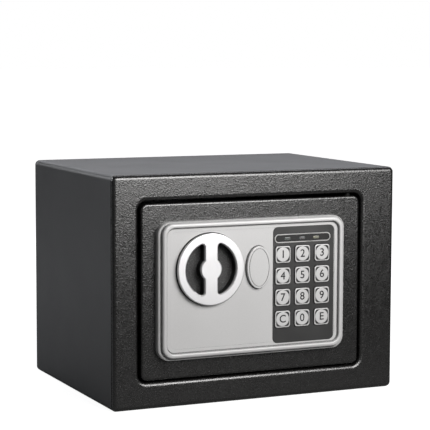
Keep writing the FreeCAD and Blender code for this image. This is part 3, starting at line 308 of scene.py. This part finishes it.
def plated(name, colour, roughness, streak=(1, 1, 1), smudge=0.05, edge_highlight_strength=0.2):
    """Plated or bare metal with faint streaks and smudges, and a painted highlight along its
    edges.
    """
    metal = Shader(name, colour, roughness, metallic=1.0)
    fine = metal.noise(700, detail=3.0, stretch=streak)
    cloud = metal.noise(35, detail=3.0)
    metal.to("Roughness", metal.math(
        "ADD", metal.ranged(cloud, 0.3, 0.75, roughness - smudge, roughness + smudge),
        metal.spread(fine, -0.02, 0.02)))
    # Painted highlight: the edges are lightened towards a brighter copy of the metal, by the
    # amount of the argument after smudge.
    metal.to("Base Color", metal.mix(
        metal.math("MULTIPLY", metal.edges(0.3 * MM), edge_highlight_strength),
        metal.mix(cloud, shade(colour, 0.9), colour),
        shade(colour, 1.25)))
    metal.bump(fine, 0.004 * MM, 0.6)
    return metal


def lamp_plastic(name, colour):
    """Slightly milky tinted lens of an unlit lamp."""
    lens = Shader(name, colour, 0.25)
    lens.set("Subsurface Weight", 0.15)
    lens.set("Coat Weight", 0.2)
    cloud = lens.noise(900, detail=1.0)
    lens.to("Base Color", lens.mix(cloud, shade(colour, 0.75), colour))
    lens.to("Roughness", lens.spread(cloud, 0.2, 0.32))
    return lens


def board_lacquer():
    """Green solder resist over copper tracks."""
    board = Shader("board_lacquer", (0.01, 0.09, 0.03), 0.3)
    tracks = board.cells(330, feature="DISTANCE_TO_EDGE")
    line = board.ranged(tracks, 0.05, 0.02)
    board.to("Base Color", board.mix(line, (0.012, 0.1, 0.035), (0.03, 0.2, 0.07)))
    board.to("Roughness", board.spread(board.noise(300), 0.25, 0.4))
    board.bump(line, 0.03 * MM)
    return board


def winding():
    """Turns of enamelled copper wire."""
    coil = Shader("coil_winding", (0.45, 0.16, 0.05), 0.3)
    wave = coil.tree.nodes.new("ShaderNodeTexWave")
    wave.bands_direction = "Z"
    wave.inputs["Scale"].default_value = 700
    coil.link(coil.coordinates, wave.inputs["Vector"])
    coil.to("Base Color", coil.mix(wave.outputs["Fac"], (0.22, 0.07, 0.02), (0.5, 0.19, 0.07)))
    coil.to("Roughness", coil.ranged(wave.outputs["Fac"], 0.0, 1.0, 0.4, 0.25))
    coil.bump(wave.outputs["Fac"], 0.08 * MM)
    return coil


def cell_sleeve():
    """Plain printed sleeve: dark with a coppery end, bare steel at the tips."""
    cell = Shader("cell_sleeve", (0.03, 0.03, 0.035), 0.28)
    across = cell.axis("X")
    low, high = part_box("battery_cells")
    band = cell.ranged(across, high.x - 17 * MM, high.x - 16.5 * MM)
    tip = cell.math("MAXIMUM", cell.ranged(across, low.x + 2.2 * MM, low.x + 2.0 * MM),
                    cell.ranged(across, high.x - 2.2 * MM, high.x - 2.0 * MM))
    sleeve = cell.mix(band, (0.03, 0.03, 0.035), (0.5, 0.27, 0.1))
    cell.to("Base Color", cell.mix(tip, sleeve, (0.6, 0.6, 0.6)))
    cell.to("Metallic", tip)
    cell.to("Roughness", cell.spread(cell.noise(200), 0.22, 0.34))
    cell.bump(cell.noise(500), 0.01 * MM, 0.5)
    return cell


def felt_wool():
    """Dark grey felt with short hairs."""
    felt = Shader("felt_wool", (0.045, 0.045, 0.05), 0.95, specular=0.1)
    felt.set("Sheen Weight", 0.5)
    felt.set("Sheen Roughness", 0.6)
    hair = felt.noise(900, detail=4.0, roughness=0.7, distortion=1.5)
    tuft = felt.noise(120, detail=3.0)
    felt.to("Base Color", felt.mix(hair, (0.02, 0.02, 0.022), (0.09, 0.09, 0.1)))
    felt.to("Roughness", felt.spread(tuft, 0.88, 1.0))
    felt.bump(felt.math("ADD", hair, felt.math("MULTIPLY", tuft, 0.5)), 0.5 * MM)
    return felt


dress(grained_paint("frame_paint", BODY_COLOUR), "front_frame", "door_panel")
dress(smooth_paint("sheet_paint", (0.0115, 0.012, 0.0135), 0.42, 0.012), "body_tube",
      "back_panel")
dress(smooth_paint("inner_paint", (0.012, 0.012, 0.0125), 0.45), "door_chassis",
      "door_inner_cover")
dress(moulded("black_oxide", (0.003, 0.003, 0.003), 0.6, 0.01, 1200, specular=0.15),
      "hinge_pins")
dress(plated("zinc_plate", (0.55, 0.56, 0.56), 0.32), "hinge_bracket_upper",
      "hinge_bracket_lower", "bolt_guide", "cover_posts", "cover_screws",
      "panel_screws", "switch_domes", "knob_spindle", "knob_cam", "bolt_carriage",
      "carriage_posts", "bolt_screws", "lock_cam", "solenoid_frame", "solenoid_plunger",
      "plunger_spring", "battery_contacts")
dress(plated("bolt_plate", (0.72, 0.72, 0.73), 0.14, streak=(0.05, 1, 1)), "locking_bolts")
dress(plated("lock_plate", (0.62, 0.56, 0.4), 0.25), "lock_cylinder", "lock_plug")
dress(silver_paint("panel_silver", (0.38, 0.38, 0.38), 0.42, 0.15), "control_panel_bezel")
dress(silver_paint("cap_silver", (0.41, 0.41, 0.41), 0.38, 0.2), "key_cover")
dress(key_paint("key_silver", (0.43, 0.43, 0.43)), *KEY_NAMES)
dress(keypad_paint("keypad_grey"), "keypad_plate")
dress(plated("outline_silver", (0.7, 0.7, 0.69), 0.35), "indicator_outline")
dress(lamp_plastic("lamp_green", (0.1, 0.105, 0.1)), "led_left")
dress(lamp_plastic("lamp_grey", (0.1, 0.1, 0.1)), "led_middle")
dress(lamp_plastic("lamp_yellow", (0.16, 0.155, 0.12)), "led_right")
dress(board_lacquer(), "circuit_board")
dress(plated("knob_chrome", (0.66, 0.66, 0.67), 0.48, smudge=0.02), "knob_trim")
dress(speckled_plastic("knob_black"), "knob_cup")
dress(winding(), "solenoid_coil")
dress(cell_sleeve(), "battery_cells")
dress(moulded("black_plastic", (0.02, 0.02, 0.02), 0.5, 0.05, 700), "battery_tray",
      "battery_cover", "reset_switch")
dress(moulded("red_plastic", (0.45, 0.02, 0.02), 0.3, 0.01), "reset_button")


# ---------------------------------------------------------------------- felt mat

def disc_cut(mesh, centre, radius):
    """Delete the faces inside a hole and move the vertices left around it onto its rim."""
    rim_reach = 1.6
    inside = [f for f in mesh.faces
              if (f.calc_center_median().xy - centre).length < radius]
    bmesh.ops.delete(mesh, geom=inside, context="FACES")
    for vertex in mesh.verts:
        if not vertex.is_boundary:
            continue
        away = vertex.co.xy - centre
        if 0 < away.length < radius * rim_reach:
            vertex.co.xy = centre + away.normalized() * radius


def build_felt_mat():
    """Thin felt sheet on the safe's floor with holes over the anchor holes."""
    low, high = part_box("floor_mat")
    step = 2.5 * MM
    anchor_x, anchor_y = 55 * MM, FRONT + 95 * MM
    anchor_radius = 5.2 * MM
    waves_across, waves_deep = 61, 47
    wave_height = 0.08 * MM
    lowest = low.z + 0.1 * MM
    thick = (high.z - low.z) - 0.25 * MM
    across = round((high.x - low.x) / step)
    deep = round((high.y - low.y) / step)
    mesh = bmesh.new()
    grid = [[mesh.verts.new((low.x + (high.x - low.x) * i / across,
                             low.y + (high.y - low.y) * j / deep, 0.0))
             for i in range(across + 1)] for j in range(deep + 1)]
    for j in range(deep):
        for i in range(across):
            mesh.faces.new((grid[j][i], grid[j][i + 1], grid[j + 1][i + 1], grid[j + 1][i]))
    for side in (-1, 1):
        disc_cut(mesh, Vector((side * anchor_x, anchor_y)), anchor_radius)
    for vertex in mesh.verts:
        wave = math.sin(vertex.co.x * waves_across) * math.cos(vertex.co.y * waves_deep)
        vertex.co.z = lowest + wave_height * wave
    data = bpy.data.meshes.new("felt_mat")
    mesh.to_mesh(data)
    mesh.free()
    mat = bpy.data.objects.new("felt_mat", data)
    scene.collection.objects.link(mat)
    solid = mat.modifiers.new("thickness", "SOLIDIFY")
    solid.thickness = thick
    solid.offset = 1.0
    data.materials.append(felt_wool().material)
    for face in data.polygons:
        face.use_smooth = True
    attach(mat, "cabinet")
    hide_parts("floor_mat")


build_felt_mat()


# ------------------------------------------------------------------ key legends

def build_legends():
    """Printed digits on the keys, and C and E for clear and enter."""
    letter_size = 8.1 * MM
    stroke_gain = 0.09 * MM
    sunk = 0.035 * MM
    ink = Shader("legend_ink", (0.01, 0.01, 0.01), 0.6, specular=0.25)
    speck = ink.noise(2500)
    ink.to("Base Color", ink.mix(speck, (0.007, 0.007, 0.007), (0.015, 0.015, 0.015)))
    ink.to("Roughness", ink.spread(speck, 0.55, 0.7))
    for name in KEY_NAMES:
        letter = {"clear": "C", "enter": "E"}.get(name[4:], name[4:])
        low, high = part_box(name)
        curve = bpy.data.curves.new("legend_" + name[4:], "FONT")
        curve.body = letter
        curve.size = letter_size
        curve.bevel_depth = stroke_gain
        curve.bevel_resolution = 0
        curve.align_x = "CENTER"
        curve.align_y = "CENTER"
        curve.materials.append(ink.material)
        legend = bpy.data.objects.new("legend_" + name[4:], curve)
        scene.collection.objects.link(legend)
        centre = (low + high) / 2
        place = Matrix.Translation((centre.x, low.y + sunk, centre.z))
        legend.matrix_world = place @ Matrix.Rotation(math.pi / 2, 4, "X")
        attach(legend, name + "_cap")


build_legends()


# ---------------------------------------------------------- floor, light, camera

# name, place, aim, size, watts, colour
SOFTBOXES = [
    ("key_box", (0.13, -0.53, 0.34), (0, FRONT, 0.1), (0.42, 0.33), 5.6, (1, 0.985, 0.975)),
    ("top_box", (0.35, 0.9, 0.7), (0, 0.05, 0.17), (1.3, 0.5), 4, (0.94, 0.95, 1.0)),
    ("side_box", (-0.9, 0.9, 0.6), (-0.115, 0, 0.1), (0.5, 0.5), 9, (0.95, 0.97, 1.0)),
    ("fill_box", (-0.7, -0.9, 0.4), (0, FRONT, 0.1), (0.8, 0.8), 0.7, (1, 1, 1)),
]
FLOOR_REACH = 14.0
FLOOR_FRONT_Y, FLOOR_BACK_Y = -0.3, 0.15
GLOW_NEAR, GLOW_FAR = 0.25, 0.7
STUDIO_LEVEL = 0.1
SENSOR_WIDTH = 36.0
FOCAL_LENGTH = 138.7
CAMERA_CLIP = (0.05, 50.0)
CAMERA_PLACE = (-0.533, -1.087 + FRONT, 0.2635)
CAMERA_AIM = (-0.0352, FRONT, 0.1391)
CAMERA_ROLL_DEGREES = 0.18


def build_floor():
    """Paper floor: near white to the camera, dark in reflections from in front of the safe."""
    mesh = bpy.data.meshes.new("studio_floor")
    reach = FLOOR_REACH
    mesh.from_pydata([(-reach, -reach, 0), (reach, -reach, 0), (reach, reach, 0),
                      (-reach, reach, 0)], [], [(0, 1, 2, 3)])
    floor = bpy.data.objects.new("studio_floor", mesh)
    scene.collection.objects.link(floor)
    surface = Shader("floor_paper", (0.4, 0.4, 0.4), 0.9, specular=0.1)
    behind = surface.ranged(surface.axis("Y"), FLOOR_FRONT_Y, FLOOR_BACK_Y)
    surface.to("Base Color", surface.mix(behind, (0.03, 0.03, 0.03), surface.mix(
        surface.noise(3), (0.38, 0.38, 0.38), (0.42, 0.42, 0.42))))
    nodes = surface.tree.nodes
    distance = nodes.new("ShaderNodeVectorMath")
    distance.operation = "LENGTH"
    surface.link(surface.coordinates, distance.inputs[0])
    glow = nodes.new("ShaderNodeEmission")
    surface.link(surface.ranged(distance.outputs["Value"], GLOW_NEAR, GLOW_FAR, 0.9, 1.0),
                 glow.inputs["Strength"])
    both = nodes.new("ShaderNodeAddShader")
    surface.link(surface.shader.outputs[0], both.inputs[0])
    surface.link(glow.outputs[0], both.inputs[1])
    path = nodes.new("ShaderNodeLightPath")
    mixed = nodes.new("ShaderNodeMixShader")
    surface.link(path.outputs["Is Camera Ray"], mixed.inputs[0])
    surface.link(surface.shader.outputs[0], mixed.inputs[1])
    surface.link(both.outputs[0], mixed.inputs[2])
    surface.link(mixed.outputs[0], nodes["Material Output"].inputs["Surface"])
    mesh.materials.append(surface.material)


def area_light(name, place, aim, size, power, colour):
    """A rectangular softbox at a place, turned towards its aim; power in watts."""
    data = bpy.data.lights.new(name, "AREA")
    data.shape = "RECTANGLE"
    data.size, data.size_y = size
    data.energy = power
    data.color = colour
    light = bpy.data.objects.new(name, data)
    scene.collection.objects.link(light)
    light.location = place
    direction = Vector(aim) - Vector(place)
    light.rotation_euler = direction.to_track_quat("-Z", "Y").to_euler()


def build_world():
    """White to the camera; a dimmer, even studio for everything that reflects it."""
    world = bpy.data.worlds.new("studio")
    world.use_nodes = True
    scene.world = world
    nodes, links = world.node_tree.nodes, world.node_tree.links
    seen = nodes["Background"]
    seen.inputs["Color"].default_value = (1, 1, 1, 1)
    seen.inputs["Strength"].default_value = 1.0
    lighting = nodes.new("ShaderNodeBackground")
    lighting.inputs["Color"].default_value = (1, 1, 1, 1)
    lighting.inputs["Strength"].default_value = STUDIO_LEVEL
    path = nodes.new("ShaderNodeLightPath")
    mixed = nodes.new("ShaderNodeMixShader")
    links.new(path.outputs["Is Camera Ray"], mixed.inputs[0])
    links.new(lighting.outputs[0], mixed.inputs[1])
    links.new(seen.outputs[0], mixed.inputs[2])
    links.new(mixed.outputs[0], nodes["World Output"].inputs["Surface"])


def build_camera():
    """The camera that gives the rest view its framing."""
    data = bpy.data.cameras.new("photo_camera")
    data.sensor_width = SENSOR_WIDTH
    data.lens = FOCAL_LENGTH
    data.clip_start, data.clip_end = CAMERA_CLIP
    camera = bpy.data.objects.new("photo_camera", data)
    scene.collection.objects.link(camera)
    place = Vector(CAMERA_PLACE)
    target = Vector(CAMERA_AIM)
    aim = (target - place).to_track_quat("-Z", "Y").to_matrix().to_4x4()
    roll = Matrix.Rotation(math.radians(CAMERA_ROLL_DEGREES), 4, "Z")
    camera.matrix_world = Matrix.Translation(place) @ aim @ roll
    scene.camera = camera


build_floor()
build_world()
for softbox in SOFTBOXES:
    area_light(*softbox)
build_camera()
